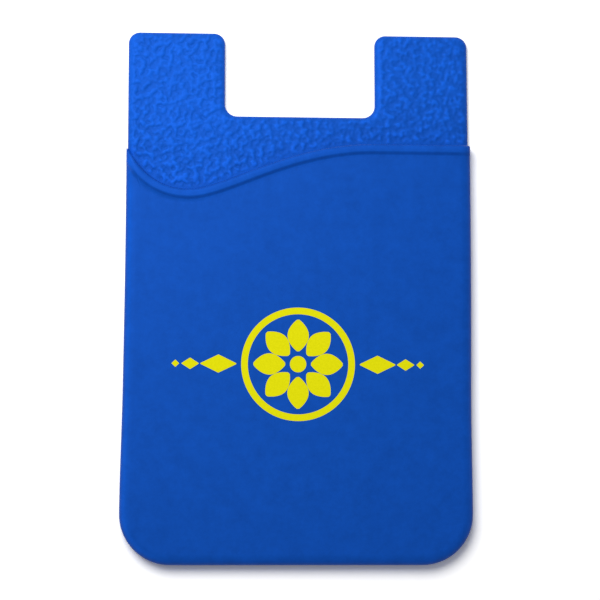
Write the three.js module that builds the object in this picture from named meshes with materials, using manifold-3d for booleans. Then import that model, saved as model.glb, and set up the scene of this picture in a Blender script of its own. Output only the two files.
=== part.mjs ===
// Stick-on card holder for a phone: a sleeve moulded in one piece from silicone,
// the adhesive sheet on its back, and the liner that covers the adhesive.
// Millimetres. It lies on its back: +Z points out of the front, +Y towards the two
// ears, and the origin is on the liner's underside, at the middle of the outline.

import * as THREE from "three";
import { mergeVertices } from "three/addons/utils/BufferGeometryUtils.js";
import Module from "manifold-3d";

const wasm = await Module();
wasm.setup();

// Outline of the sleeve
const sleeveLength = 88.5; // bottom edge to the tops of the ears
const panelWidth = 56.7; // back panel, across the ears
const pocketLedge = 0.17; // how far the pocket's sides stand outside the panel's
const sideFlare = 0.22; // how much more they stand out at the bottom corners
const flareLength = 20.7; // stretch of side above the corner over which they do
const bottomCornerRadius = 8.3;
const leftEarWidth = 16.1;
const rightEarWidth = 15.56;
const notchDepth = 14.1; // down from the tops of the ears
const notchRootRadius = 2.05;
const earOuterRadius = 1.9;
const earInnerRadius = 1.85;

// Wall thicknesses and the card slot between them
const panelThickness = 1.15;
const slotHeight = 0.9; // room for a card, which is 0.76 thick
const frontThickness = 0.95;
const sideWall = 1.13;
const bottomWall = 1.6;
const slotCornerRadius = 3.5;

// Rounded edges: the front's is a soft shoulder, wider than it is deep
const frontEdgeRun = 1.8;
const frontEdgeDrop = 1.1;
const panelEdgeRadius = 0.6;
const backEdgeRadius = 0.25;
const slotEdgeRadius = 0.3;

// Mouth of the pocket: a wave that starts high on the left side, dips, and climbs to a
// level stretch on the right. Heights are above the sleeve's bottom edge.
const mouthLeftHeight = 68.65;
const mouthDipHeight = 61.7;
const mouthLevelHeight = 69.58;
const dipFromLeft = 10.3; // from the pocket's left side
const levelFromRight = 15.9; // length of the level stretch
const leftEndRun = 1.7; // the wave's steep start: across, and down
const leftEndDrop = 2.7;
const dipReachLeft = 6.1; // how far the dip stays nearly level on each side
const dipReachRight = 5.8;
const levelReach = 14.3; // how gently the climb runs into the level stretch

// Rounded lip raised along the mouth
const lipWidth = 1.95;
const lipCrest = 0.85; // from the mouth's edge to the highest line of the lip
const lipRise = 0.36; // above the pocket's front
const lipUndercut = 0.3; // round under the lip, where a card goes in

// Adhesive sheet and its liner
const adhesiveThickness = 0.2;
const adhesiveSideMargin = 3.2; // from the panel's sides
const adhesiveTopMargin = 3.1; // below the notch
const adhesiveBottomMargin = 4;
const adhesiveCornerRadius = 5;
const linerThickness = 0.1;
const linerOverhang = 0.5; // past the adhesive on every side
const tabWidth = 14;
const tabReach = 1.9; // past the liner's bottom edge
const tabRadius = 1.2;

// Fineness of the faceted curves
const chordError = 0.02;
const edgeSteps = 4;
const fallSteps = 16;
const climbSteps = 24;
const flareSteps = 6;
const lipSteps = 6;
const samePlace = 1e-4;
const cutterOverrun = 1; // how far a cutting shape reaches past what it cuts

// Levels and places worked out from the sizes above
const bottomY = -sleeveLength / 2;
const topY = sleeveLength / 2;
const notchBottomY = topY - notchDepth;
const cornerTopY = bottomY + bottomCornerRadius;
const flareStartY = cornerTopY + flareLength;
const mouthHighY = bottomY + Math.max(mouthLeftHeight, mouthLevelHeight);
const panelHalf = panelWidth / 2;
const mouthHalf = panelHalf + pocketLedge;
const backZ = linerThickness + adhesiveThickness;
const slotFloorZ = backZ + panelThickness;
const slotRoofZ = slotFloorZ + slotHeight;
const frontZ = slotRoofZ + frontThickness;
const crestZ = frontZ + lipRise;

const east = 0;
const north = Math.PI / 2;
const west = Math.PI;
const south = -Math.PI / 2;
const southFromWest = -Math.PI;

const point = (x, y) => new THREE.Vector2(x, y);

// Round stretch of an outline, with as many chords as its radius needs
function arc(cx, cy, radius, from, to, clockwise = false) {
  const widest = 2 * Math.acos(1 - chordError / radius);
  const steps = Math.max(3, Math.ceil(Math.abs(to - from) / widest));
  return new THREE.EllipseCurve(cx, cy, radius, radius, from, to, clockwise).getPoints(steps);
}

// The four round corners of an outline, each between its two sides
const lowerLeft = (x, y, r) => arc(x + r, y + r, r, southFromWest, south);
const lowerRight = (x, y, r) => arc(x - r, y + r, r, south, east);
const upperRight = (x, y, r) => arc(x - r, y - r, r, east, north);
const upperLeft = (x, y, r) => arc(x + r, y - r, r, north, west);

function roundedRectangle(x0, y0, x1, y1, radius) {
  return [
    ...lowerLeft(x0, y0, radius),
    ...lowerRight(x1, y0, radius),
    ...upperRight(x1, y1, radius),
    ...upperLeft(x0, y1, radius),
  ];
}

// Back panel: round bottom corners, and two ears with a notch between them
function panelOutline() {
  const foot = bottomY + pocketLedge;
  const corner = bottomCornerRadius - pocketLedge;
  const notchLeft = -panelHalf + leftEarWidth;
  const notchRight = panelHalf - rightEarWidth;
  const root = notchRootRadius;
  return [
    ...lowerLeft(-panelHalf, foot, corner),
    ...lowerRight(panelHalf, foot, corner),
    ...upperRight(panelHalf, topY, earOuterRadius),
    ...upperLeft(notchRight, topY, earInnerRadius),
    ...arc(notchRight - root, notchBottomY + root, root, east, south, true),
    ...arc(notchLeft + root, notchBottomY + root, root, south, southFromWest, true),
    ...upperRight(notchLeft, topY, earInnerRadius),
    ...upperLeft(-panelHalf, topY, earOuterRadius),
  ];
}

// Half width of the pocket: straight at the mouth, then an S-shaped flare down to the corners
function pocketHalf(y) {
  const u = THREE.MathUtils.clamp((flareStartY - y) / flareLength, 0, 1);
  return mouthHalf + sideFlare * u * u * (3 - 2 * u);
}

// Pocket before the wave is cut, so its top edge lies above the mouth's highest point
function pocketOutline() {
  const wide = mouthHalf + sideFlare;
  const side = [];
  for (let i = 1; i <= flareSteps; i++) {
    const y = THREE.MathUtils.lerp(cornerTopY, flareStartY, i / flareSteps);
    side.push(point(pocketHalf(y), y));
  }
  side.push(point(mouthHalf, mouthHighY + lipWidth));
  return [
    ...lowerLeft(-wide, bottomY, bottomCornerRadius),
    ...lowerRight(wide, bottomY, bottomCornerRadius),
    ...side,
    ...side.map((p) => point(-p.x, p.y)).reverse(),
  ];
}

// Card slot, open past the mouth
function slotOutline() {
  const half = mouthHalf - sideWall;
  const open = mouthHighY + cutterOverrun;
  return [
    ...lowerLeft(-half, bottomY + bottomWall, slotCornerRadius),
    ...lowerRight(half, bottomY + bottomWall, slotCornerRadius),
    point(half, open),
    point(-half, open),
  ];
}

// Neighbouring points in the same place would leave faces without area
function distinct(points) {
  return points.filter((p, i) => p.distanceTo(points[(i + 1) % points.length]) > samePlace);
}

// Closed counterclockwise outline moved inwards, each corner along its bisector
function inset(points, distance) {
  const count = points.length;
  return points.map((p, i) => {
    const a = p.clone().sub(points[(i + count - 1) % count]).normalize();
    const b = points[(i + 1) % count].clone().sub(p).normalize();
    const bisector = point(-a.y - b.y, a.x + b.x).normalize();
    const reach = distance / bisector.dot(point(-a.y, a.x));
    return p.clone().addScaledVector(bisector, reach);
  });
}

// Closed solid through rings of equally many points. The end faces are triangulated
// on the outline that the rings were made from.
function ringSolid(rings, outline) {
  const count = outline.length;
  const faces = [];
  for (let k = 0; k + 1 < rings.length; k++) {
    for (let i = 0; i < count; i++) {
      const a = k * count + i;
      const b = k * count + ((i + 1) % count);
      faces.push(a, b, b + count, a, b + count, a + count);
    }
  }
  const last = (rings.length - 1) * count;
  for (const [a, b, c] of THREE.ShapeUtils.triangulateShape(outline, [])) {
    faces.push(c, b, a);
    faces.push(last + a, last + b, last + c);
  }
  const positions = rings.flat().flatMap((p) => [p.x, p.y, p.z]);
  const geometry = new THREE.BufferGeometry();
  geometry.setAttribute("position", new THREE.Float32BufferAttribute(positions, 3));
  geometry.setIndex(faces);
  return solidOf(geometry);
}

// Slab between two levels, its lower edge rounded by a radius, its upper edge by a
// quarter ellipse of the given run and drop
function roundedSlab(outline, lowZ, highZ, lowRadius, highRun, highDrop = highRun) {
  const shape = distinct(outline);
  const rings = [];
  const addRing = (distance, z) => {
    rings.push(inset(shape, distance).map((p) => new THREE.Vector3(p.x, p.y, z)));
  };
  for (let k = 0; k <= edgeSteps; k++) {
    const angle = (north * k) / edgeSteps;
    addRing(lowRadius * (1 - Math.sin(angle)), lowZ + lowRadius * (1 - Math.cos(angle)));
  }
  for (let k = 0; k <= edgeSteps; k++) {
    const angle = (north * k) / edgeSteps;
    addRing(highRun * (1 - Math.cos(angle)), highZ - highDrop * (1 - Math.sin(angle)));
  }
  return ringSolid(rings, shape);
}

// Plain prism of an outline between two levels
function prism(outline, lowZ, highZ) {
  const shape = new THREE.Shape(distinct(outline));
  const geometry = new THREE.ExtrudeGeometry(shape, { depth: highZ - lowZ, bevelEnabled: false });
  geometry.translate(0, 0, lowZ);
  return solidOf(geometry);
}

// Stations along the mouth's edge, left to right, each with the direction into the
// pocket. Both ends run on past the sides in a straight line.
function mouthStations() {
  const leftY = bottomY + mouthLeftHeight;
  const dip = point(-mouthHalf + dipFromLeft, bottomY + mouthDipHeight);
  const level = point(mouthHalf - levelFromRight, bottomY + mouthLevelHeight);
  const fall = new THREE.CubicBezierCurve(
    point(-mouthHalf, leftY),
    point(-mouthHalf + leftEndRun, leftY - leftEndDrop),
    point(dip.x - dipReachLeft, dip.y),
    dip,
  );
  const climb = new THREE.CubicBezierCurve(
    dip,
    point(dip.x + dipReachRight, dip.y),
    point(level.x - levelReach, level.y),
    level,
  );
  const stations = [];
  const addStation = (at, along) => {
    stations.push({ at, inward: point(along.y, -along.x) });
  };
  const overrun = 2 * lipWidth;
  const start = fall.getTangent(0);
  addStation(fall.getPoint(0).addScaledVector(start, -overrun), start);
  for (let i = 0; i < fallSteps; i++) {
    addStation(fall.getPoint(i / fallSteps), fall.getTangent(i / fallSteps));
  }
  for (let i = 0; i <= climbSteps; i++) {
    addStation(climb.getPoint(i / climbSteps), climb.getTangent(i / climbSteps));
  }
  addStation(point(mouthHalf + overrun, level.y), point(1, 0));
  return stations;
}

// Solid with one section all along the mouth. A section point is (depth, z), its depth
// counted from the mouth's edge into the pocket. Carried from right to left, a
// counterclockwise section faces outwards.
function alongMouth(section) {
  const stations = mouthStations().reverse();
  const rings = stations.map(({ at, inward }) =>
    section.map((p) => {
      const q = at.clone().addScaledVector(inward, p.x);
      return new THREE.Vector3(q.x, q.y, p.y);
    }),
  );
  return ringSolid(rings, section);
}

// Everything above the mouth, cut back to the lip's crest so that the lip ends the front
function aboveMouth() {
  const line = mouthStations().map(({ at, inward }) => at.clone().addScaledVector(inward, lipCrest));
  const first = line[0];
  const last = line[line.length - 1];
  const high = topY + cutterOverrun;
  const outline = [...line, point(last.x, high), point(first.x, high)];
  return prism(outline, backZ - cutterOverrun, crestZ + cutterOverrun);
}

// Lip section: a wave that rises from the pocket's front to the crest, then a quarter
// ellipse down to the wall of the mouth
function lipSection() {
  const wallTop = frontZ - frontThickness / 2;
  const section = [point(0, backZ), point(lipWidth, backZ)];
  for (let i = 0; i < lipSteps; i++) {
    const u = i / lipSteps;
    const rise = (lipRise * (1 - Math.cos(Math.PI * u))) / 2;
    section.push(point(THREE.MathUtils.lerp(lipWidth, lipCrest, u), frontZ + rise));
  }
  for (let i = 0; i <= lipSteps; i++) {
    const angle = (north * i) / lipSteps;
    const z = wallTop + (crestZ - wallTop) * Math.cos(angle);
    section.push(point(lipCrest * (1 - Math.sin(angle)), z));
  }
  return section;
}

// Round cut under the lip's edge, between the slot's side walls
function lipUndercutCutter() {
  const outside = -cutterOverrun;
  const middleZ = (slotFloorZ + slotRoofZ) / 2;
  const topZ = slotRoofZ + lipUndercut;
  const section = [point(outside, topZ), point(outside, middleZ), point(lipUndercut, middleZ)];
  for (let i = 0; i <= edgeSteps; i++) {
    const angle = (north * i) / edgeSteps;
    section.push(point(lipUndercut * (1 - Math.sin(angle)), topZ - lipUndercut * Math.cos(angle)));
  }
  const half = mouthHalf - sideWall - slotEdgeRadius;
  const between = [point(-half, bottomY), point(half, bottomY), point(half, topY), point(-half, topY)];
  return alongMouth(section).intersect(prism(between, backZ, crestZ));
}

function siliconeBody() {
  const blank = (z) =>
    roundedSlab(pocketOutline(), backZ, z, backEdgeRadius, frontEdgeRun, frontEdgeDrop);
  const panel = roundedSlab(panelOutline(), backZ, slotFloorZ, backEdgeRadius, panelEdgeRadius);
  const slot = roundedSlab(slotOutline(), slotFloorZ, slotRoofZ, slotEdgeRadius, slotEdgeRadius);
  const lip = alongMouth(lipSection()).intersect(blank(crestZ));
  const pocket = blank(frontZ).subtract(aboveMouth()).add(lip);
  return pocket.add(panel).subtract(slot).subtract(lipUndercutCutter());
}

// The adhesive lies below the notch, with a margin of bare silicone all round
const adhesiveHalf = panelHalf - adhesiveSideMargin;
const adhesiveLowY = bottomY + adhesiveBottomMargin;
const adhesiveHighY = notchBottomY - adhesiveTopMargin;

function adhesivePad() {
  const half = adhesiveHalf;
  const outline = roundedRectangle(-half, adhesiveLowY, half, adhesiveHighY, adhesiveCornerRadius);
  return prism(outline, linerThickness, backZ);
}

// Liner with a finger tab at the middle of its bottom edge
function releaseLiner() {
  const half = adhesiveHalf + linerOverhang;
  const lowY = adhesiveLowY - linerOverhang;
  const highY = adhesiveHighY + linerOverhang;
  const corner = adhesiveCornerRadius + linerOverhang;
  const sheet = roundedRectangle(-half, lowY, half, highY, corner);
  const tab = roundedRectangle(-tabWidth / 2, lowY - tabReach, tabWidth / 2, lowY + tabReach, tabRadius);
  return prism(sheet, 0, linerThickness).add(prism(tab, 0, linerThickness));
}

// A closed mesh made a solid, by its positions alone
function solidOf(geometry) {
  geometry.deleteAttribute("normal");
  geometry.deleteAttribute("uv");
  const merged = mergeVertices(geometry, samePlace / 10);
  return new wasm.Manifold(
    new wasm.Mesh({
      numProp: 3,
      vertProperties: merged.getAttribute("position").array,
      triVerts: new Uint32Array(merged.getIndex().array),
    }),
  );
}

function meshOf(solid, name, material) {
  const { vertProperties, triVerts } = solid.getMesh();
  const geometry = new THREE.BufferGeometry();
  geometry.setAttribute("position", new THREE.BufferAttribute(new Float32Array(vertProperties), 3));
  geometry.setIndex(new THREE.BufferAttribute(new Uint32Array(triVerts), 1));
  geometry.computeVertexNormals();
  const mesh = new THREE.Mesh(geometry, material);
  mesh.name = name;
  return mesh;
}

const blueSilicone = new THREE.MeshStandardMaterial({ color: 0x1a52b6, roughness: 0.62, metalness: 0 });
const clearAdhesive = new THREE.MeshStandardMaterial({ color: 0xdad7cc, roughness: 0.35, metalness: 0 });
const linerPaper = new THREE.MeshStandardMaterial({ color: 0xf2f0e9, roughness: 0.5, metalness: 0 });

const cardHolder = new THREE.Group();
cardHolder.add(meshOf(siliconeBody(), "silicone_body", blueSilicone));
cardHolder.add(meshOf(adhesivePad(), "adhesive_pad", clearAdhesive));
cardHolder.add(meshOf(releaseLiner(), "release_liner", linerPaper));

export default cardHolder;
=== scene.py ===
# Looks for the stick-on card holder: a moulded silicone sleeve lying on a white table.
import math

import bpy
import numpy as np
from mathutils import Matrix, Vector


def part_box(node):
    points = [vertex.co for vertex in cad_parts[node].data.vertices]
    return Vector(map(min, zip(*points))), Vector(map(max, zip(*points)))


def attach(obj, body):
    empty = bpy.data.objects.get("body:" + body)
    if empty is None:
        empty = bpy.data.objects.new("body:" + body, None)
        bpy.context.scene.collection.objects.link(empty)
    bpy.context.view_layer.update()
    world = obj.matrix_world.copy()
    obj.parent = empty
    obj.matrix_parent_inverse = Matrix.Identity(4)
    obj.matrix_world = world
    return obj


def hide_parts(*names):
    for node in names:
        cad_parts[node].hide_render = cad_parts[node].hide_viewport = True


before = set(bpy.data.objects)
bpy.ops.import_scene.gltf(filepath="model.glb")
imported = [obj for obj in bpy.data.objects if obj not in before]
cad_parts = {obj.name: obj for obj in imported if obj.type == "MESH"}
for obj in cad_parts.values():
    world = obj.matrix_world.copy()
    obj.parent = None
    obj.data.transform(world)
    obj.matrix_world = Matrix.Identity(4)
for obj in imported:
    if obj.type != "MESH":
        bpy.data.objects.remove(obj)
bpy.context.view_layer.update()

scene = bpy.context.scene
mm = 0.001
bodyLow, bodyHigh = (np.array(corner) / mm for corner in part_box("silicone_body"))
print("frame loaded, sleeve from", bodyLow.round(2), "to", bodyHigh.round(2))

# Camera: where the photograph was taken from, in millimetres, and how far it zooms in
view = dict(
    place=(-14.15, -41.84, 328.65),
    looks=(0.043947, 0.124604, -0.991233),
    upward=(-0.009267, 0.9922, 0.124315),
    lens=120.18,
    sensor=36.0,
)


def addCamera():
    data = bpy.data.cameras.new("camera")
    data.sensor_width = view["sensor"]
    data.lens = view["lens"]
    data.clip_start = 0.01
    camera = bpy.data.objects.new("camera", data)
    back = -Vector(view["looks"]).normalized()
    right = Vector(view["upward"]).cross(back).normalized()
    up = back.cross(right)
    turn = Matrix((right, up, back)).transposed()
    camera.matrix_world = Matrix.Translation(Vector(view["place"]) * mm) @ turn.to_4x4()
    scene.collection.objects.link(camera)
    scene.camera = camera
    print("camera ready")


addCamera()

# Sleeve, in millimetres. Its outer sizes come from the frame.
sleeve = dict(
    bottomY=bodyLow[1],
    topY=bodyHigh[1],
    backZ=bodyLow[2],
    crestZ=bodyHigh[2],
    panelHalf=28.35,  # half width of the back panel with its ears
    ledge=0.17,  # the pocket is this much wider on each side at its mouth
    flare=0.22,  # and this much more lower down, within this length above the corners
    flareLength=20.7,
    cornerRadius=8.3,
    leftEar=16.1,
    rightEar=15.56,
    notchDepth=14.1,
    rootRadius=2.05,
    earOuterRadius=1.9,
    earInnerRadius=1.85,
    panelThick=1.15,
    slotHeight=0.9,
    frontThick=0.95,
    sideWall=1.13,
    bottomWall=1.6,
    slotCorner=3.5,
    shoulderRun=1.8,  # rounded front edge of the pocket: how far in, and down
    shoulderDrop=1.1,
    backEdge=0.25,  # radius of the back's edges
    crown=0.05,  # the front bulges a little and is slightly uneven, away from its edges
    uneven=0.012,
    evenEdge=(1.5, 9),  # none of it nearer to an edge, and all of it further in
    slotEdge=0.3,  # rounding of the slot's roof along its sides
    slotPast=0.5,  # how far the slot's cut runs out past the mouth
    slotSquare=0.6,  # its last stretch there, drawn straight out
)
s = sleeve
mouthHalf = s["panelHalf"] + s["ledge"]
wideHalf = mouthHalf + s["flare"]
cornerTop = s["bottomY"] + s["cornerRadius"]
panelZ = s["backZ"] + s["panelThick"]
roofZ = panelZ + s["slotHeight"]
frontZ = roofZ + s["frontThick"]
notchLeft = -s["panelHalf"] + s["leftEar"]
notchRight = s["panelHalf"] - s["rightEar"]
notchBottom = s["topY"] - s["notchDepth"]

# Wave of the mouth and its rounded lip. Heights are above the bottom edge.
mouth = dict(
    leftHeight=68.65,
    dipHeight=61.7,
    levelHeight=69.58,
    dipFromLeft=10.3,
    levelFromRight=15.9,
    leftRun=1.7,
    leftDrop=2.7,
    reachLeft=6.1,
    reachRight=5.8,
    levelReach=14.3,
    lipFoot=1.95,  # the lip's inner flank climbs from here
    lipShelf=1.26,  # to here, and its round outer edge begins at the crest
    lipCrest=0.55,
    lipFall=0.01,  # how much the top falls from the crest back to the flank
    undercut=0.3,
    overrun=6.0,  # straight run past each side, for distances only
)


def bezier(a, b, c, d, count):
    # cubic curve: (1-t)^3 a + 3 (1-t)^2 t b + 3 (1-t) t^2 c + t^3 d
    t = np.linspace(0, 1, count)[:, None]
    return (1 - t) ** 3 * a + 3 * (1 - t) ** 2 * t * b + 3 * (1 - t) * t**2 * c + t**3 * d


def spaced(path, count):
    # the same path with its points at equal steps of length
    run = np.r_[0, np.cumsum(np.hypot(*np.diff(path, axis=0).T))]
    at = np.linspace(0, run[-1], count)
    return np.stack([np.interp(at, run, path[:, 0]), np.interp(at, run, path[:, 1])], 1)


def unit(v):
    return v / np.linalg.norm(v, axis=-1, keepdims=True)


def mouthPath():
    m = mouth
    low = s["bottomY"]
    start = np.array([-mouthHalf, low + m["leftHeight"]])
    dip = np.array([-mouthHalf + m["dipFromLeft"], low + m["dipHeight"]])
    level = np.array([mouthHalf - m["levelFromRight"], low + m["levelHeight"]])
    fall = bezier(start, start + [m["leftRun"], -m["leftDrop"]], dip - [m["reachLeft"], 0], dip, 160)
    climb = bezier(dip, dip + [m["reachRight"], 0], level - [m["levelReach"], 0], level, 260)
    return np.concatenate([fall[:-1], climb, [[mouthHalf, level[1]]]])


mouthLine = spaced(mouthPath(), 301)


def ranOn(line, overrun):
    # the line, carried straight on at both ends
    first = line[0] + unit(line[0] - line[1]) * overrun
    last = line[-1] + unit(line[-1] - line[-2]) * overrun
    return np.concatenate([[first], line, [last]])


def beside(line, distance):
    # the line moved to its right by a distance, along its normals
    along = unit(np.gradient(line, axis=0))
    return line + np.stack([along[:, 1], -along[:, 0]], 1) * distance


def signedDistance(points, line):
    # shortest distance from each point to the line, positive to the right of its direction
    a, ab = line[:-1], np.diff(line, axis=0)
    length2 = (ab**2).sum(1)
    out = np.empty(len(points))
    for at in range(0, len(points), 4000):  # a few thousand at a time, to save memory
        p = points[at:at + 4000, None, :] - a
        t = np.clip((p * ab).sum(2) / length2, 0, 1)
        away = p - t[..., None] * ab
        d2 = (away**2).sum(2)
        near = d2.argmin(1)
        row = np.arange(len(near))
        cross = ab[near, 0] * p[row, near, 1] - ab[near, 1] * p[row, near, 0]
        out[at:at + 4000] = np.where(cross > 0, -1, 1) * np.sqrt(d2[row, near])
    return out


def mouthDepth(points):
    return signedDistance(points, ranOn(mouthLine, mouth["overrun"]))


def smooth(value, low, high):
    u = np.clip((value - low) / (high - low), 0, 1)
    return u * u * (3 - 2 * u)


def pocketHalf(y):
    # half width: straight at the mouth, an S-shaped flare down to the corners
    return mouthHalf + s["flare"] * smooth(cornerTop + s["flareLength"] - y, 0, s["flareLength"])


def sideDepth(points):
    # distance inside the pocket's sides, bottom edge and round bottom corners
    x, y = np.abs(points[:, 0]), points[:, 1]
    half, r = pocketHalf(y), s["cornerRadius"]
    straight = np.minimum(half - x, y - s["bottomY"])
    cx, cy = x - (half - r), cornerTop - y
    return np.where((cx > 0) & (cy > 0), r - np.hypot(cx, cy), straight)


def quarterEllipse(depth, run, drop):
    # how far a rounded edge lies below its top: drop (1 - sqrt(1 - (1 - depth/run)^2))
    u = 1 - np.clip(depth / run, 0, 1)
    return drop * (1 - np.sqrt(1 - u * u))


def frontHeight(points):
    # level front, less the rounded shoulder by the sides, plus the lip by the mouth,
    # with a slight crown and the faint unevenness of a soft moulding
    m = mouth
    side, depth = sideDepth(points), mouthDepth(points)
    rise = s["crestZ"] - frontZ
    flank = np.clip((depth - m["lipShelf"]) / (m["lipFoot"] - m["lipShelf"]), 0, 1)
    fall = m["lipFall"] * np.clip((depth - m["lipCrest"]) / (m["lipShelf"] - m["lipCrest"]), 0, 1) ** 2
    lip = (rise - fall) * (1 + np.cos(math.pi * flank)) / 2
    edge = quarterEllipse(depth, m["lipCrest"], rise + s["frontThick"] / 2)
    x, y = points[:, 0], points[:, 1]
    inward = smooth(np.minimum(side, depth), *s["evenEdge"])
    crown = s["crown"] * (1 - (x / wideHalf) ** 2)
    waves = np.sin(x / 5.1 + 0.7 * np.sin(y / 7.3)) + np.sin(y / 6.2 + 1.3 + 0.8 * np.sin(x / 8.9))
    shoulder = quarterEllipse(side, s["shoulderRun"], s["shoulderDrop"])
    return frontZ + lip - edge - shoulder + inward * (crown + s["uneven"] * waves)


def arc(cx, cy, r, start, end, count):
    a = np.radians(np.linspace(start, end, count))
    return np.stack([cx + r * np.cos(a), cy + r * np.sin(a)], 1)


def joined(*paths):
    # paths end to end, without the repeated points
    return np.concatenate([paths[0]] + [p[1:] for p in paths[1:]])


def coons(bottom, top, left, right):
    # surface between four edges: the two pairs blended, less the blend of the corners
    v = np.linspace(0, 1, len(left))[:, None, None]
    u = np.linspace(0, 1, len(bottom))[None, :, None]
    ruled = (1 - v) * bottom[None] + v * top[None] + (1 - u) * left[:, None] + u * right[:, None]
    corners = (1 - v) * ((1 - u) * bottom[0] + u * bottom[-1]) + v * ((1 - u) * top[0] + u * top[-1])
    return ruled - corners


def gridQuads(rows, columns, first=0):
    a = first + np.arange(rows - 1)[:, None] * columns + np.arange(columns - 1)
    return np.stack([a, a + 1, a + columns + 1, a + columns], -1).reshape(-1, 4)


def ringQuads(inner, outer):
    # quads between two closed rings of vertex numbers, facing up where the rings turn left
    return np.stack([inner, outer, np.roll(outer, -1), np.roll(inner, -1)], -1)


def gridRim(rows, columns):
    # the outer vertices of a grid, counterclockwise from its first corner
    n = np.arange(rows * columns).reshape(rows, columns)
    return np.concatenate([n[0, :-1], n[:-1, -1], n[-1, :0:-1], n[:0:-1, 0]])


def makeObject(name, vertices, faces):
    mesh = bpy.data.meshes.new(name)
    mesh.from_pydata((np.asarray(vertices) * mm).tolist(), [], faces)
    mesh.update()
    piece = bpy.data.objects.new(name, mesh)
    scene.collection.objects.link(piece)
    return piece


# Pocket block: how finely it is divided, and how wide the frame round its middle is
pocketMesh = dict(
    alongMouth=150,
    alongSide=42,
    nearMouth=18,  # more steps along the sides where the lip meets them
    nearLength=2.8,
    halfCorner=9,  # steps in half of a bottom corner
    frame=2.4,  # width of the rings round the middle grid
    shoulderRings=18,
    flankRings=10,  # with the shelf's ring and the crest's, as many as the shoulder has
    shelfRing=0.22,  # this far inside the crest
    crestAngles=(90, 74, 58, 43, 29, 14, 0),
    wallRings=4,
    ringGap=0.02,  # least drop from one wall ring to the next
    intoSlot=0.01,  # how far the undercut reaches past the slot's roof
    undercutFrom=(-0.1, 0.5),  # where it begins, measured from the slot's side
    cornerDraw=4.5,  # length over which the mouth's corners draw their neighbours along
    sharpest=0.2,  # least sine of a turn that a corner's move is worked out with
    support=0.1,  # one more ring on the flat back, this far inside its edge's rounding
)


def pocketEdges(inset):
    # left, bottom, right and top edge of the pocket, moved in by a distance
    n, r = pocketMesh, s["cornerRadius"]
    mouthEdge = beside(mouthLine, inset)
    leftX, rightX = -mouthHalf + inset, mouthHalf - inset
    wave = ranOn(mouthEdge, 1.0)
    leftY, rightY = np.interp([leftX, rightX], wave[:, 0], wave[:, 1])
    inside = mouthEdge[(mouthEdge[:, 0] > leftX + 1e-3) & (mouthEdge[:, 0] < rightX - 1e-3)]
    top = spaced(np.concatenate([[[leftX, leftY]], inside, [[rightX, rightY]]]), n["alongMouth"] + 1)
    turn = [wideHalf - r, cornerTop, r - inset]

    def side(endY, sign):
        near = endY - n["nearLength"]
        coarse = np.linspace(cornerTop, near, n["alongSide"] + 1)
        fine = np.linspace(near, endY, n["nearMouth"] + 1)
        y = np.r_[coarse, fine[1:]]
        return np.stack([sign * (pocketHalf(y) - inset), y], 1)

    half = n["halfCorner"] + 1
    left = joined(arc(-turn[0], turn[1], turn[2], 225, 180, half), side(leftY, -1))
    right = joined(arc(*turn, -45, 0, half), side(rightY, 1))
    low = s["bottomY"] + inset
    middle = np.linspace((-turn[0], low), (turn[0], low), n["alongMouth"] - 2 * n["halfCorner"] + 1)
    bottom = joined(arc(-turn[0], turn[1], turn[2], 225, 270, half), middle, arc(*turn, -90, -45, half))
    return bottom, top, left, right


def edgeLoop(bottom, top, left, right):
    # the four edges as one closed counterclockwise loop, as gridRim numbers them
    return np.concatenate([bottom[:-1], right[:-1], top[:0:-1], left[:0:-1]])


def mouthShare(rows, columns, count):
    # which vertices of the loop lie on the mouth: one there, half at its two ends, else nought
    onMouth = np.zeros(count)
    first = (columns - 1) + (rows - 1)
    onMouth[first:first + columns] = 1
    onMouth[[first, first + columns - 1]] = 0.5
    return onMouth


def frameRings(loopOut, loopIn, onMouth):
    # rings round the core, from the inside out: shoulder along the sides, lip along the mouth
    n, m = pocketMesh, mouth
    angle = np.radians(np.linspace(90, 0, n["shoulderRings"]))
    sideSteps = s["shoulderRun"] * (1 - np.cos(angle))
    flank = np.linspace(m["lipFoot"], m["lipShelf"], n["flankRings"])
    crest = m["lipCrest"] * (1 - np.cos(np.radians(n["crestAngles"])))
    mouthSteps = np.r_[flank, m["lipCrest"] + n["shelfRing"], crest]
    rings = []
    for dSide, dMouth in zip(sideSteps, mouthSteps):
        t = (dSide + (dMouth - dSide) * onMouth) / n["frame"]
        flat = loopOut + (loopIn - loopOut) * t[:, None]
        rings.append(np.c_[flat, frontHeight(flat)])
    return rings


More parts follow.
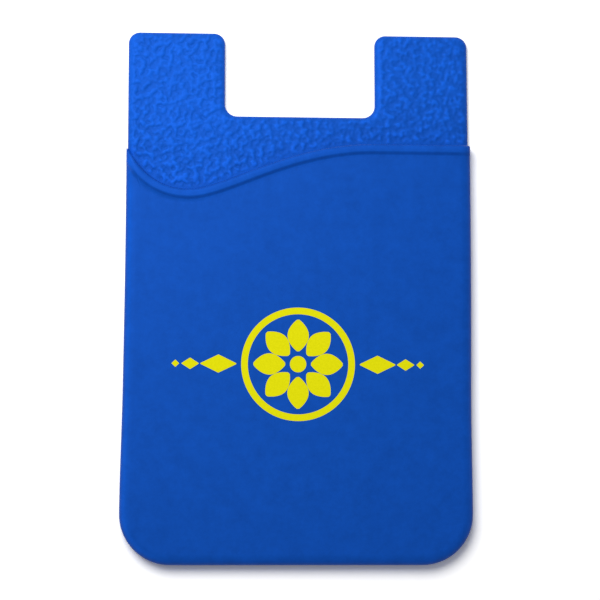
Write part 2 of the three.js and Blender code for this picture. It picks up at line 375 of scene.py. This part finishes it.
def wallRings(loopOut, topLevel, onMouth):
    # outer walls down to the back, in at the back's edge, and undercut where the slot opens
    n = pocketMesh
    before, after = np.roll(loopOut, 1, 0), np.roll(loopOut, -1, 0)
    a, b = unit(loopOut - before), unit(after - loopOut)
    normalA = np.stack([-a[:, 1], a[:, 0]], 1)
    normalB = np.stack([-b[:, 1], b[:, 0]], 1)
    mean = unit(normalA + normalB)
    sine = a[:, 0] * b[:, 1] - a[:, 1] * b[:, 0]
    edgeAngle = np.radians([0, 22.5, 45, 67.5, 90])
    backSteps = s["backEdge"] * (1 - np.cos(edgeAngle))
    backLevels = s["backZ"] + s["backEdge"] * (1 - np.sin(edgeAngle))
    underAngle = np.radians(np.linspace(0, 90, n["wallRings"]))
    underSteps = mouth["undercut"] * (1 - np.cos(underAngle))
    underLevels = roofZ - n["intoSlot"] + mouth["undercut"] * (1 - np.sin(underAngle))
    slotHalf = mouthHalf - s["sideWall"]
    inSlot = smooth(slotHalf - np.abs(loopOut[:, 0]), *n["undercutFrom"]) * (onMouth == 1)

    # the mouth's two corners move along both of their edges, and draw their neighbours with them
    corner = onMouth == 0.5
    mitre = (b - a) / np.maximum(sine, n["sharpest"])[:, None]
    run = np.r_[0, np.cumsum(np.hypot(*(after - loopOut)[:-1].T))]
    gap = np.abs(run[:, None] - run[corner][None, :])
    nearest = gap.argmin(1)
    draw = 1 - smooth(gap[np.arange(len(gap)), nearest], 0, n["cornerDraw"])
    cornerMove = mitre[corner][nearest] * draw[:, None]

    def ring(step, under, z):
        # step in from every edge, or under along the mouth's own normals
        even = mean * (1 - draw)[:, None] + cornerMove
        return np.c_[loopOut + even * step + mean * under[:, None], z]

    rings = []
    for k in range(n["wallRings"]):
        down = topLevel + (backLevels[0] - topLevel) * (k + 1) / (n["wallRings"] + 1)
        under = np.minimum(underLevels[k], topLevel - n["ringGap"] * (k + 1))
        rings.append(ring(0.0, underSteps[k] * inSlot, np.where(inSlot > 0, under, down)))
    level = np.ones(len(loopOut))
    for step, z in zip(backSteps, backLevels):
        rings.append(ring(step, mouth["undercut"] * inSlot, level * z))
    rings.append(ring(s["backEdge"] + n["support"], mouth["undercut"] * inSlot, level * s["backZ"]))
    return rings


def pocketBlock():
    # the middle of the front as one grid, and rings out from its rim and down to the back
    outer, inner = pocketEdges(0.0), pocketEdges(pocketMesh["frame"])
    core = coons(*inner)
    rows, columns = core.shape[:2]
    loopOut, loopIn = edgeLoop(*outer), edgeLoop(*inner)
    count = len(loopOut)
    onMouth = mouthShare(rows, columns, count)
    rings = frameRings(loopOut, loopIn, onMouth)
    rings += wallRings(loopOut, rings[-1][:, 2], onMouth)
    coreTop = core.reshape(-1, 2)
    coreTop = np.c_[coreTop, frontHeight(coreTop)]
    faces = [gridQuads(rows, columns)]
    rim = gridRim(rows, columns)
    for k in range(len(rings)):
        nextRim = len(coreTop) + k * count + np.arange(count)
        faces.append(ringQuads(rim, nextRim))
        rim = nextRim
    allFaces = np.concatenate(faces).tolist() + [rim[::-1].tolist()]
    return makeObject("pocket_block", np.concatenate([coreTop] + rings), allFaces)


# Back sheet: plain inside the pocket, grained like leather above it
sheet = dict(
    belowEdge=0.35,  # how far inside the pocket block its hidden lower end stays
    arcSteps=10,
    step=0.155,  # grid of the grained part
    hiddenStep=2.4,
    seed=19,
    edgeRun=1.1,  # rounded front edge: how far it reaches in, and down
    edgeDrop=0.75,
    edgeSmooth=0.12,  # how far in the rounded edge stays clear of the grain
    edgeClear=0.35,  # then the blank rises this far above the grain
    edgeClearBy=0.9,  # by this far in
    slabPast=0.8,  # how far the grained slab reaches past the outline, and past its bottom
    slabLow=0.3,
    fineBelow=1.0,  # its fine grid begins this far below the mouth's lowest point
    bumps=((3.0, 0.5), (1.5, 1.0), (0.9, 0.6), (0.62, 0.15)),  # spacing and weight
    bandWidth=0.45,  # how far the spacing of one size varies
    depth=0.034,
    highest=2.6,  # most that a bump rises or falls, in depths
    lowest=2.0,  # most that a hollow counts for in the painted shade
    fadeEdge=(0.1, 0.7),  # the grain fades in over these distances from the outline and the mouth
    fadeMouth=(0.15, 1.0),
    bumpHighlight=0.31,  # painted highlight: how much the tops of the bumps are brightened
    peakHighlight=0.4,  # and the highest ones more than in proportion
    softerRight=0.35,  # how much the grain and its painted highlights and shade fade from left to right
    softerOver=(8, 30),  # from the left edge
    # painted shade: the sheet's tone darker to the right, where less light falls
    paintedShadeRight=0.3,
    paintedShadeRightOver=(-20, 15),  # from the middle
    toneShadedByMouth=0.34,  # tone of the grained surface by the mouth and far from it: painted shade of the pocket by the mouth, painted light further from it
    toneLitAwayFromMouth=0.8,
    paintedShadeRun=(-4.0, 13.0),
    toneEdge=0.15,  # how soon past the mouth the sheet's tone is full, and the bumps' painted highlights and shade
    bumpEdge=0.5,
    sheetTop=(1.8, 1.95),  # what lies higher than this belongs to the pocket
)


def sheetOutline(inset):
    # rounded outline with two ears and the thumb notch, moved in by a distance, counterclockwise
    n, half, top = sheet["arcSteps"], s["panelHalf"], s["topY"]
    r, outerR, innerR, rootR = s["cornerRadius"], s["earOuterRadius"], s["earInnerRadius"], s["rootRadius"]
    low = s["bottomY"] + sheet["belowEdge"] + r
    return np.concatenate([
        arc(r - half, low, r - inset, 180, 270, n),
        arc(half - r, low, r - inset, 270, 360, n),
        arc(half - outerR, top - outerR, outerR - inset, 0, 90, n),
        arc(notchRight + innerR, top - innerR, innerR - inset, 90, 180, n),
        arc(notchRight - rootR, notchBottom + rootR, rootR + inset, 0, -90, n),
        arc(notchLeft + rootR, notchBottom + rootR, rootR + inset, -90, -180, n),
        arc(notchLeft - innerR, top - innerR, innerR - inset, 0, 90, n),
        arc(outerR - half, top - outerR, outerR - inset, 90, 180, n),
    ])


def stacked(name, rings):
    # closed solid from a pile of matching counterclockwise rings, lowest first
    count = len(rings[0])
    number = np.arange(len(rings) * count).reshape(-1, count)
    sides = [ringQuads(upper, lower) for lower, upper in zip(number[:-1], number[1:])]
    faces = np.concatenate(sides).tolist() + [number[0][::-1].tolist(), number[-1].tolist()]
    return makeObject(name, np.concatenate(rings), faces)


def atHeight(flat, z):
    return np.c_[flat, np.full(len(flat), z)]


def sheetBlank():
    # outline with both edges rounded. Past its first steps the front edge keeps above the grain.
    g, back = sheet, s["backEdge"]
    rings = [atHeight(sheetOutline(back + pocketMesh["support"]), s["backZ"])]
    for a in np.radians([90, 67.5, 45, 22.5, 0]):
        z = s["backZ"] + back * (1 - math.sin(a))
        rings.append(atHeight(sheetOutline(back * (1 - math.cos(a))), z))
    for a in np.radians([0, 9, 18, 27, 36, 48, 60, 75, 90]):
        inset = g["edgeRun"] * (1 - math.cos(a))
        above = g["edgeClear"] * float(smooth(inset, g["edgeSmooth"], g["edgeClearBy"]))
        z = panelZ - quarterEllipse(inset, g["edgeRun"], g["edgeDrop"]) + above
        rings.append(atHeight(sheetOutline(inset), z))
    return stacked("sheet_blank", rings)


def bandNoise(shape, step, size, seed):
    # smooth noise of one bump size: white noise, kept only near one wavelength
    white = np.random.default_rng(seed).standard_normal(shape)
    fy, fx = np.meshgrid(np.fft.fftfreq(shape[0], step), np.fft.rfftfreq(shape[1], step), indexing="ij")
    frequency = np.hypot(fx, fy) * size
    band = np.exp(-(((frequency - 1) / sheet["bandWidth"]) ** 2))
    noise = np.fft.irfft2(np.fft.rfft2(white) * band, s=shape)
    return noise / noise.std()


def grainHeight(shape, step):
    # leather grain: the sum of bumps of several sizes
    g = sheet
    mixed = sum(w * bandNoise(shape, step, size, g["seed"] + k) for k, (size, w) in enumerate(g["bumps"]))
    softer = 1 - g["softerRight"] * smooth(np.arange(shape[1]) * step, *g["softerOver"])
    return g["depth"] * softer * np.clip(mixed, -g["highest"], g["highest"])


def outlineDepth(points):
    # distance inside the sheet's outline
    loop = sheetOutline(0)[::-1]
    return signedDistance(points, np.concatenate([loop, loop[:1]]))


def grainFade(points):
    # one on the bare sheet, nought at its edges, by the mouth and inside the pocket
    return smooth(outlineDepth(points), *sheet["fadeEdge"]) * smooth(-mouthDepth(points), *sheet["fadeMouth"])


def grainedSlab():
    # block over the whole outline, its top a grid: coarse in the pocket, fine where grained
    g = sheet
    reach = s["panelHalf"] + g["slabPast"]
    fineFrom = mouthLine[:, 1].min() - g["fineBelow"]
    x = np.arange(-reach, reach + g["step"], g["step"])
    fineY = np.arange(fineFrom, s["topY"] + g["slabPast"], g["step"])
    coarseCount = int((fineFrom - s["bottomY"]) / g["hiddenStep"])
    coarseY = np.linspace(s["bottomY"] - g["slabLow"], fineFrom, coarseCount)[:-1]
    y = np.r_[coarseY, fineY]
    rows, columns = len(y), len(x)
    flat = np.stack(np.meshgrid(x, y), -1).reshape(-1, 2)
    z = np.full((rows, columns), panelZ)
    fineFlat = flat[len(coarseY) * columns:]
    fade = grainFade(fineFlat).reshape(len(fineY), columns)
    inside = np.maximum(outlineDepth(fineFlat), g["edgeSmooth"]).reshape(fade.shape)
    z[len(coarseY):] += grainHeight(fade.shape, g["step"]) * fade
    z[len(coarseY):] -= quarterEllipse(inside, g["edgeRun"], g["edgeDrop"])
    top = np.c_[flat, z.ravel()]
    rim = gridRim(rows, columns)
    under = top[rim].copy()
    under[:, 2] = 0.0
    number = len(top) + np.arange(len(rim))
    faces = np.concatenate([gridQuads(rows, columns), ringQuads(rim, number)]).tolist()
    faces.append(number[::-1].tolist())
    return makeObject("grained_slab", np.concatenate([top, under]), faces)


def slotCutter():
    # card slot: flat, round in its lower corners and roof edges, open past the mouth
    half, r, edge = mouthHalf - s["sideWall"], s["slotCorner"], s["slotEdge"]
    low = s["bottomY"] + s["bottomWall"]
    outside = beside(mouthLine, -s["slotPast"])
    outside = outside[np.abs(outside[:, 0]) < half - s["slotSquare"]][::-1]

    def ring(inset, z):
        left, right = -half + inset, half - inset
        x = np.interp(outside[:, 0], (outside[-1, 0], outside[0, 0]), (left, right))
        end = np.stack([x, outside[:, 1]], 1)
        return atHeight(np.concatenate([
            arc(-half + r, low + r, r - inset, 180, 270, 8),
            arc(half - r, low + r, r - inset, 270, 360, 8),
            end,
        ]), z)

    rings = [ring(0, panelZ - s["panelThick"] / 3)]
    for a in np.radians([0, 30, 60, 90]):
        rings.append(ring(edge * (1 - math.cos(a)), roofZ - edge + edge * math.sin(a)))
    return stacked("slot_cutter", rings)


def boolean(target, tool, how):
    # target joined with, cut by or kept inside the tool, and the tool deleted
    step = target.modifiers.new("step", "BOOLEAN")
    step.operation = how
    step.solver = "MANIFOLD"
    step.object = tool
    bpy.context.view_layer.update()
    result = bpy.data.meshes.new_from_object(target.evaluated_get(bpy.context.evaluated_depsgraph_get()))
    target.modifiers.remove(step)
    target.data = result
    bpy.data.objects.remove(tool)
    print(" ", how.lower(), "gives", len(result.polygons), "faces")


# Painted highlights on the lip, along the rim and on the edges facing left: how much, where and how wide
paintedEdgeHighlights = dict(
    # painted highlight on the lip's crest
    lip=0.3,
    lipAt=0.85,
    lipSpread=0.62,
    # painted highlight along the pocket's sides and bottom
    rim=0.1,
    rimSpread=1.3,
    left=0.55,
    leftAt=0.65,
    leftSpread=0.45,
    probe=0.1,  # step to the right that tells a left edge
)

# How the soft piece departs from straight: its bottom edge draws up and its sides sway
slack = dict(
    drawUp=0.2,
    lean=0.004,  # more to the right, by this for each millimetre
    upper=-26,  # none above this height, and all of it from the lower one down
    lower=-44,
    sway=0.09,
    swayZero=-13,
    swayHalf=42,  # length of half a wave
)


def bell(value, middle, spread):
    return np.exp(-(((value - middle) / spread) ** 2))


def tonesWithPaintedLight(place):
    # how light the surface is: the bare sheet, with painted shade by the mouth and to the right, painted
    # light away from the mouth, painted highlights and shade on its bumps, and painted highlights on the
    # pocket's lip and edges
    g, e = sheet, paintedEdgeHighlights
    flat, z = place[:, :2], place[:, 2]
    away, side, inside = -mouthDepth(flat), sideDepth(flat), outlineDepth(flat)
    onSheet = smooth(away, 0.0, g["toneEdge"]) * (1 - smooth(z, *g["sheetTop"]))
    # painted shade and light: the sheet's tone darker by the mouth, brighter away from it
    toneAndPaintedLight = g["toneShadedByMouth"] + (g["toneLitAwayFromMouth"] - g["toneShadedByMouth"]) * smooth(away, *g["paintedShadeRun"])
    # painted shade: darker towards the right
    toneAndPaintedLight = toneAndPaintedLight * (1 - g["paintedShadeRight"] * smooth(place[:, 0], *g["paintedShadeRightOver"]))
    plain = panelZ - quarterEllipse(inside, g["edgeRun"], g["edgeDrop"])
    # painted highlights on the bumps' tops and painted shade in their hollows
    bump = np.clip((z - plain) / g["depth"], -g["lowest"], g["highest"]) * smooth(away, 0, g["bumpEdge"])
    toneAndPaintedLight += g["bumpHighlight"] * (bump + g["peakHighlight"] * (bump**2 - 1))
    # painted highlight on the lip's crest
    lip = e["lip"] * bell(-away, e["lipAt"], e["lipSpread"])
    # painted highlight along the pocket's edges
    rim = e["rim"] * bell(side, 0, e["rimSpread"])
    tones = onSheet * toneAndPaintedLight + (1 - onSheet) * np.maximum(lip, rim)
    # left edges catch the light: where the depth grows to the right
    beyond = flat + [e["probe"], 0]
    edges = ((side, sideDepth(beyond), 1 - onSheet), (inside, outlineDepth(beyond), onSheet))
    for depth, ahead, share in edges:
        facing = np.clip((ahead - depth) / e["probe"], 0, 1)
        tones += share * facing * e["left"] * bell(depth, e["leftAt"], e["leftSpread"])
    return tones


def slacken(place):
    # the vertices moved as the soft piece lies
    w = slack
    x, y = place[:, 0].copy(), place[:, 1].copy()
    place[:, 0] += w["sway"] * np.sin(math.pi * (y - w["swayZero"]) / w["swayHalf"])
    place[:, 1] += (w["drawUp"] + w["lean"] * x) * smooth(-y, -w["upper"], -w["lower"])
    return place


def buildSleeve():
    panel = sheetBlank()
    boolean(panel, grainedSlab(), "INTERSECT")
    sleevePiece = pocketBlock()
    boolean(sleevePiece, slotCutter(), "DIFFERENCE")
    boolean(sleevePiece, panel, "UNION")
    sleevePiece.name = sleevePiece.data.name = "silicone_sleeve"
    mesh = sleevePiece.data
    place = np.empty(len(mesh.vertices) * 3)
    mesh.vertices.foreach_get("co", place)
    place = place.reshape(-1, 3) / mm
    # the tone attribute, with its painted shade and highlights
    mesh.attributes.new("toneAndPaintedLight", "FLOAT", "POINT").data.foreach_set("value", tonesWithPaintedLight(place))
    mesh.vertices.foreach_set("co", (slacken(place) * mm).ravel())
    mesh.shade_smooth()
    mesh.set_sharp_from_angle(angle=math.radians(35))
    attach(sleevePiece, "root")
    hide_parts("silicone_body")
    return sleevePiece


sleevePiece = buildSleeve()
print("sleeve:", len(sleevePiece.data.vertices), "vertices")

# Ornament printed in yellow: an eight-petalled rosette in a ring, with lozenges on both sides
ornament = dict(
    centre=(0.0, -11.5),
    proud=0.015,  # how far the film stands out of the front, and reaches into it
    sunk=0.05,
    petals=8,
    petalInner=2.1,
    petalOuter=7.3,
    petalHalf=1.75,
    petalTip=0.02,  # part of the oval cut off at both tips
    petalFull=0.8,  # fuller below one
    budRadius=1.35,
    ringInner=8.2,
    ringOuter=9.3,
    # to either side: centre, half length and half width of each lozenge
    lozenges=((13.0, 2.9, 1.5), (17.6, 1.4, 0.95), (20.0, 0.6, 0.6)),
    blunt=0.06,  # width left at a lozenge's ends, as a part of its middle
)


def inkShell(grid):
    # grid of flat points raised onto the front: a thin closed film that follows it
    o = ornament
    rows, columns = grid.shape[:2]
    flat = grid.reshape(-1, 2) + np.array(o["centre"])
    height = frontHeight(flat)
    top = np.c_[flat, height + o["proud"]]
    low = np.c_[flat, height - o["sunk"]]
    rim = gridRim(rows, columns)
    count = len(top)
    upper = gridQuads(rows, columns)
    lower = gridQuads(rows, columns, count)[:, ::-1]
    edge = ringQuads(rim, rim + count)
    return np.concatenate([top, low]), np.concatenate([upper, lower, edge])


def turned(grid, angle):
    c, n = math.cos(angle), math.sin(angle)
    return grid @ np.array([[c, n], [-n, c]])


def petal():
    # pointed oval: half width times a power of sin(pi t), from the inner to the outer radius
    o = ornament
    t = np.linspace(0, 1, 25)[:, None]
    w = np.linspace(-1, 1, 9)[None, :]
    along = o["petalTip"] + (1 - 2 * o["petalTip"]) * t
    half = o["petalHalf"] * np.sin(math.pi * along) ** o["petalFull"]
    y = o["petalInner"] + (o["petalOuter"] - o["petalInner"]) * t
    return np.stack(np.broadcast_arrays(half * w, y), -1)


def inkGrids():
    o = ornament
    for k in range(o["petals"]):
        yield turned(petal(), 2 * math.pi * k / o["petals"])
    # the ring in four quarters and the bud as a square of arcs
    for k in range(4):
        a = np.linspace(0, math.pi / 2, 25)[None, :] + k * math.pi / 2
        r = np.linspace(o["ringOuter"], o["ringInner"], 3)[:, None]
        yield np.stack([r * np.cos(a), r * np.sin(a)], -1)
    square = np.linspace(-1, 1, 9)
    u, v = np.meshgrid(square, square)
    yield o["budRadius"] * np.stack([u * np.sqrt(1 - v * v / 2), v * np.sqrt(1 - u * u / 2)], -1)
    for side in (-1, 1):
        for reach, halfLength, halfWidth in o["lozenges"]:
            u = np.linspace(-1, 1, 15)[None, :]
            v = np.linspace(-1, 1, 7)[:, None]
            x = reach + halfLength * u
            y = halfWidth * v * (1 - np.abs(u) * (1 - o["blunt"]))
            grid = np.stack(np.broadcast_arrays(x * side, y), -1)
            yield grid if side > 0 else grid[:, ::-1]


def printOrnament():
    vertices, faces, start = [], [], 0
    for grid in inkGrids():
        v, f = inkShell(grid)
        vertices.append(v)
        faces.append(f + start)
        start += len(v)
    piece = makeObject("yellow_print", np.concatenate(vertices), np.concatenate(faces).tolist())
    piece.data.shade_smooth()
    piece.data.set_sharp_from_angle(angle=math.radians(50))
    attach(piece, "root")
    return piece


printPiece = printOrnament()
print("print:", len(printPiece.data.vertices), "vertices")


def newMaterial(name):
    material = bpy.data.materials.new(name)
    material.use_nodes = True
    nodes, links = material.node_tree.nodes, material.node_tree.links
    return material, nodes, links, nodes["Principled BSDF"]


def tone(red, green, blue):
    # a colour written as it looks on screen, 0 to 255, as linear light
    c = np.array([red, green, blue]) / 255
    return (*np.where(c <= 0.04045, c / 12.92, ((c + 0.055) / 1.055) ** 2.4), 1.0)


def noiseOn(nodes, links, scale, detail, roughness=0.5, stretch=None):
    # noise on object coordinates, drawn out along the axes whose stretch is below one
    place = nodes.new("ShaderNodeTexCoord").outputs["Object"]
    if stretch:
        mapping = nodes.new("ShaderNodeMapping")
        mapping.inputs["Scale"].default_value = stretch
        links.new(place, mapping.inputs["Vector"])
        place = mapping.outputs["Vector"]
    noise = nodes.new("ShaderNodeTexNoise")
    noise.inputs["Scale"].default_value = scale
    noise.inputs["Detail"].default_value = detail
    noise.inputs["Roughness"].default_value = roughness
    links.new(place, noise.inputs["Vector"])
    return noise


def blotched(nodes, links, shader, noise, first, second):
    # base colour between two tones, each given with the noise value that brings it
    ramp = nodes.new("ShaderNodeValToRGB")
    for stop, (position, colour) in zip(ramp.color_ramp.elements, (first, second)):
        stop.position = position
        stop.color = colour
    links.new(noise.outputs["Fac"], ramp.inputs["Fac"])
    links.new(ramp.outputs["Color"], shader.inputs["Base Color"])


def relief(nodes, links, shader, noise, strength, depth):
    bump = nodes.new("ShaderNodeBump")
    bump.inputs["Strength"].default_value = strength
    bump.inputs["Distance"].default_value = depth
    links.new(noise.outputs["Fac"], bump.inputs["Height"])
    links.new(bump.outputs["Normal"], shader.inputs["Normal"])


def siliconeMaterial():
    # matt moulded silicone: one tone for the smooth pocket and one for the bare sheet, both mottled, mixed by
    # an attribute that also holds painted shade and highlights
    look = dict(
        smooth=tone(15, 76, 173),
        grained=tone(21, 96, 217),
        gleam=tone(60, 120, 255),
        roughness=0.42,
        specular=0.5,
        mottle=dict(scale=450, detail=5, roughness=0.75),
        mottleFrom=(0.3, 0.88),  # noise value and the brightness that it gives
        mottleTo=(0.7, 1.12),
        skin=dict(scale=5200, detail=3),
        skinStrength=0.25,
        skinDepth=0.00003,
    )
    material, nodes, links, shader = newMaterial("blue_silicone")
    # attribute that mixes the two tones and carries the painted shade and highlights
    bare = nodes.new("ShaderNodeAttribute")
    bare.attribute_name = "toneAndPaintedLight"
    mix = nodes.new("ShaderNodeMix")
    mix.data_type = "RGBA"
    mix.inputs["A"].default_value = look["smooth"]
    mix.inputs["B"].default_value = look["grained"]
    links.new(bare.outputs["Fac"], mix.inputs["Factor"])
    mottle = noiseOn(nodes, links, **look["mottle"])
    ramp = nodes.new("ShaderNodeMapRange")
    for end, (value, brightness) in (("Min", look["mottleFrom"]), ("Max", look["mottleTo"])):
        ramp.inputs["From " + end].default_value = value
        ramp.inputs["To " + end].default_value = brightness
    links.new(mottle.outputs["Fac"], ramp.inputs["Value"])
    tint = nodes.new("ShaderNodeVectorMath")
    tint.operation = "SCALE"
    links.new(mix.outputs["Result"], tint.inputs[0])
    links.new(ramp.outputs["Result"], tint.inputs["Scale"])
    links.new(tint.outputs["Vector"], shader.inputs["Base Color"])
    skin = noiseOn(nodes, links, **look["skin"])
    relief(nodes, links, shader, skin, look["skinStrength"], look["skinDepth"])
    shader.inputs["Roughness"].default_value = look["roughness"]
    shader.inputs["Specular IOR Level"].default_value = look["specular"]
    shader.inputs["Specular Tint"].default_value = look["gleam"]
    return material


def inkMaterial():
    # yellow printing ink, even, with a fine speckle
    material, nodes, links, shader = newMaterial("yellow_ink")
    speck = noiseOn(nodes, links, scale=3000, detail=3)
    blotched(nodes, links, shader, speck, (0.3, tone(232, 229, 12)), (0.7, tone(242, 238, 17)))
    shader.inputs["Roughness"].default_value = 0.5
    shader.inputs["Specular IOR Level"].default_value = 0.2
    shader.inputs["Specular Tint"].default_value = tone(255, 240, 60)
    return material


def glueMaterial():
    # milky acrylic glue sheet, glossy, with small trapped bubbles
    material, nodes, links, shader = newMaterial("milky_glue")
    noise = noiseOn(nodes, links, scale=900, detail=4)
    blotched(nodes, links, shader, noise, (0.35, tone(196, 201, 203)), (0.65, tone(221, 223, 220)))
    relief(nodes, links, shader, noise, strength=0.4, depth=0.00002)
    shader.inputs["Roughness"].default_value = 0.22
    shader.inputs["Coat Weight"].default_value = 0.3
    return material


def linerMaterial():
    # waxed release paper: off-white with stretched fibres and a soft sheen
    material, nodes, links, shader = newMaterial("release_paper")
    fibre = noiseOn(nodes, links, scale=2600, detail=6, stretch=(1.0, 0.18, 1.0))
    blotched(nodes, links, shader, fibre, (0.3, tone(226, 222, 210)), (0.7, tone(240, 238, 230)))
    relief(nodes, links, shader, fibre, strength=0.2, depth=0.00001)
    shader.inputs["Roughness"].default_value = 0.38
    return material


def setMaterial(piece, material):
    piece.data.materials.clear()
    piece.data.materials.append(material)


setMaterial(sleevePiece, siliconeMaterial())
setMaterial(printPiece, inkMaterial())
setMaterial(bpy.data.objects["adhesive_pad"], glueMaterial())
setMaterial(bpy.data.objects["release_liner"], linerMaterial())
print("materials ready")

# Table, light and background
studio = dict(
    floorZ=-0.02,
    floorHalf=1500,
    key=dict(azimuth=125, elevation=61, distance=280, size=220, power=0.67),
    ambient=0.23,
    floorTone=0.9,
    floorSeen=1.5,  # as the camera sees it: a table far brighter than the sleeve
)


def addLamp(name, aim):
    azimuth, elevation = math.radians(aim["azimuth"]), math.radians(aim["elevation"])
    flat = math.cos(elevation)
    towards = Vector((flat * math.cos(azimuth), flat * math.sin(azimuth), math.sin(elevation)))
    lamp = bpy.data.lights.new(name, "AREA")
    lamp.shape = "DISK"
    lamp.size = aim["size"] * mm
    lamp.energy = aim["power"]
    holder = bpy.data.objects.new(name, lamp)
    turn = towards.to_track_quat("Z", "Y").to_matrix().to_4x4()
    holder.matrix_world = Matrix.Translation(towards * aim["distance"] * mm) @ turn
    scene.collection.objects.link(holder)


def addStudio():
    t = studio
    half = t["floorHalf"]
    corners = [(x * half, y * half, t["floorZ"]) for x, y in ((-1, -1), (1, -1), (1, 1), (-1, 1))]
    floor = makeObject("table", corners, [(0, 1, 2, 3)])
    material, nodes, links, shader = newMaterial("white_table")
    shown = nodes.new("ShaderNodeMapRange")
    shown.inputs["To Min"].default_value = t["floorTone"]
    shown.inputs["To Max"].default_value = t["floorSeen"]
    matt = nodes.new("ShaderNodeBsdfDiffuse")
    links.new(nodes.new("ShaderNodeLightPath").outputs["Is Camera Ray"], shown.inputs["Value"])
    links.new(shown.outputs["Result"], matt.inputs["Color"])
    links.new(matt.outputs["BSDF"], nodes["Material Output"].inputs["Surface"])
    nodes.remove(shader)
    floor.data.materials.append(material)

    addLamp("key", t["key"])

    world = bpy.data.worlds.new("room")
    scene.world = world
    world.use_nodes = True
    nodes, links = world.node_tree.nodes, world.node_tree.links
    backdrop = nodes["Background"]
    backdrop.inputs["Color"].default_value = (1, 1, 1, 1)
    # white to the camera, in reflections and through glass, and dimmer as light
    seen = nodes.new("ShaderNodeLightPath")
    shown = seen.outputs["Is Camera Ray"]
    for ray in ("Is Glossy Ray", "Is Transmission Ray"):
        either = nodes.new("ShaderNodeMath")
        either.operation = "MAXIMUM"
        links.new(shown, either.inputs[0])
        links.new(seen.outputs[ray], either.inputs[1])
        shown = either.outputs[0]
    strength = nodes.new("ShaderNodeMapRange")
    strength.inputs["To Min"].default_value = t["ambient"]
    strength.inputs["To Max"].default_value = 1.0
    links.new(shown, strength.inputs["Value"])
    links.new(strength.outputs["Result"], backdrop.inputs["Strength"])


addStudio()
scene.view_settings.view_transform = "Standard"
print("studio ready")
